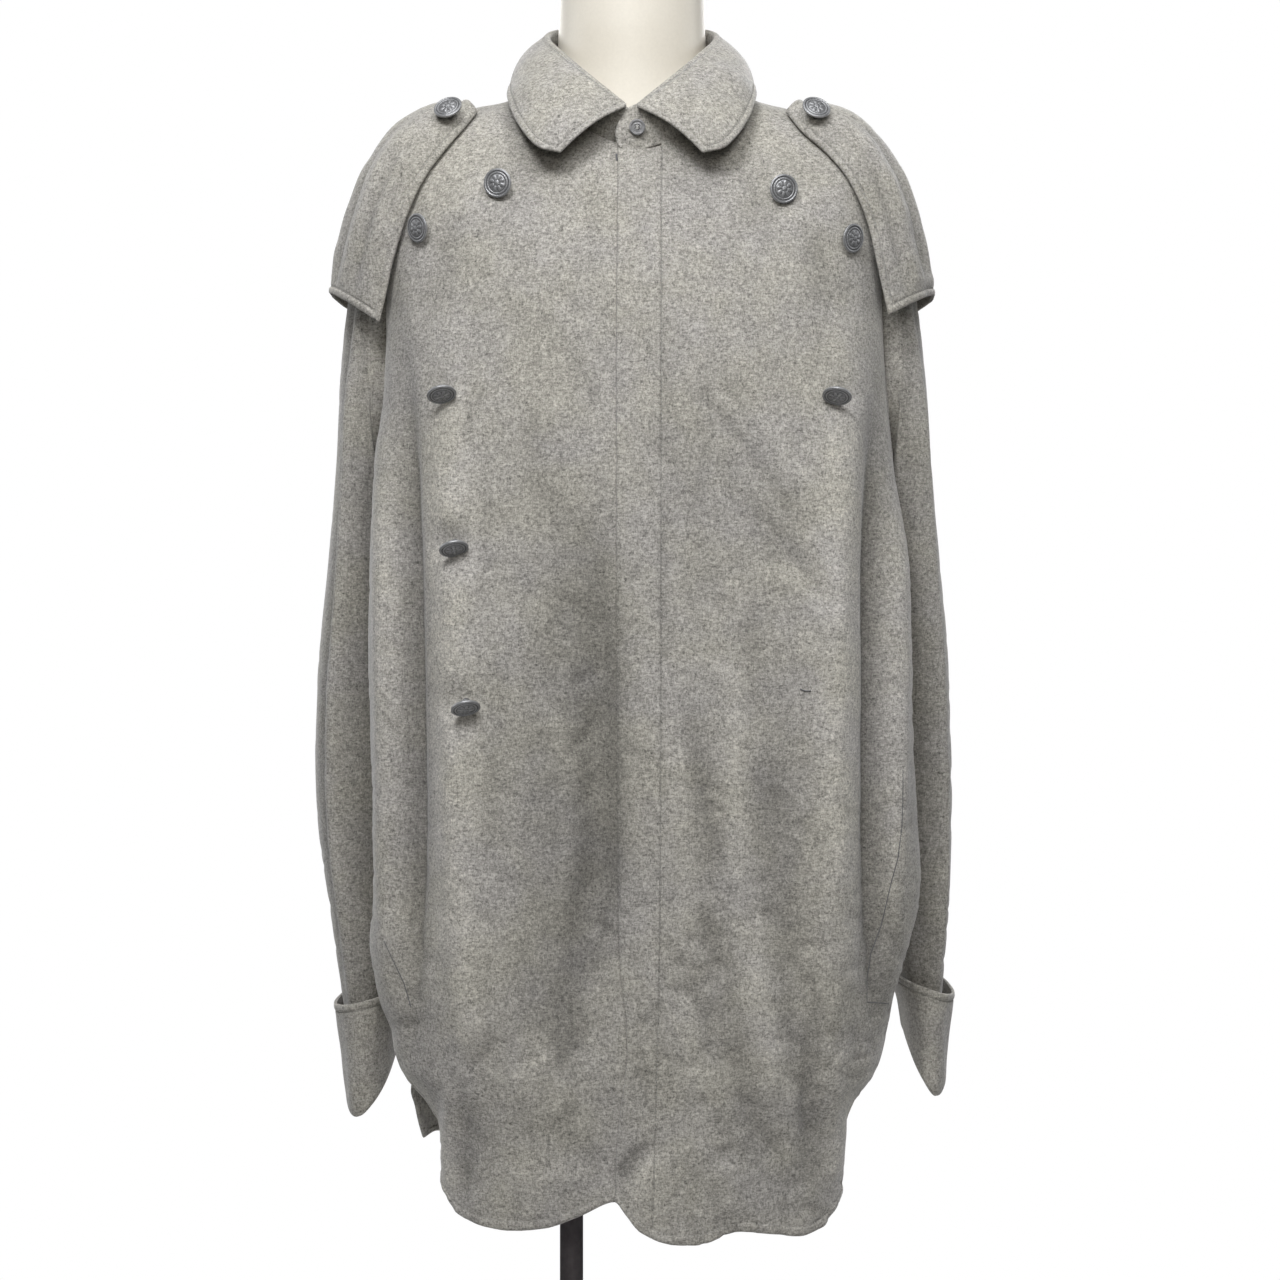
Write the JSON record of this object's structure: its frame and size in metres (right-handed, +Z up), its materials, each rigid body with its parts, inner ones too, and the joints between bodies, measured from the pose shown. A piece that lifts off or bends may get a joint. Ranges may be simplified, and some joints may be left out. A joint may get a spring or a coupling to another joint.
{
  "type": "oversized shirt coat with shoulder capelets on a limbless dress form with a pole stand",
  "caption": "Oversized flannel shirt coat with stand collar, fly front, shoulder capelets and turned-back cuffs, hanging on a limbless dress form on a pole and round base.",
  "frame": {"origin": "centre of the base plate's underside, on the floor", "axes": "+Z up, -Y out of the coat's front, +X to the wearer's left side"},
  "size_m": [0.5297, 0.34, 1.55],
  "materials": {
    "flannel": "grey melange wool flannel, napped",
    "form_cover": "cream, smooth, satin",
    "pole_metal": "dark, satin",
    "plate_steel": "brushed, dark",
    "button_metal": "antique silver casting, darkened in its hollows",
    "button_plastic": "grey, satin"
  },
  "bodies": {
    "root": {"back": "flannel", "front_left": "flannel", "front_right": "flannel", "placket": "flannel", "sleeve_left": "flannel", "sleeve_right": "flannel", "cuff_left": "flannel", "cuff_right": "flannel", "capelet_left": "flannel", "capelet_right": "flannel", "collar": "flannel", "collar_stand": "flannel", "button_collar": "button_plastic", "button_left_3": "button_metal", "button_left_chest": "button_metal", "button_left_shoulder": "button_metal", "button_left_side": "button_metal", "button_right_3": "button_metal", "button_right_4": "button_metal", "button_right_5": "button_metal", "button_right_chest": "button_metal", "button_right_shoulder": "button_metal", "button_right_side": "button_metal", "form_torso": "form_cover", "form_flange": "plate_steel", "form_pole": "pole_metal", "form_socket": "pole_metal", "form_base": "plate_steel"}
  },
  "joints": []
}
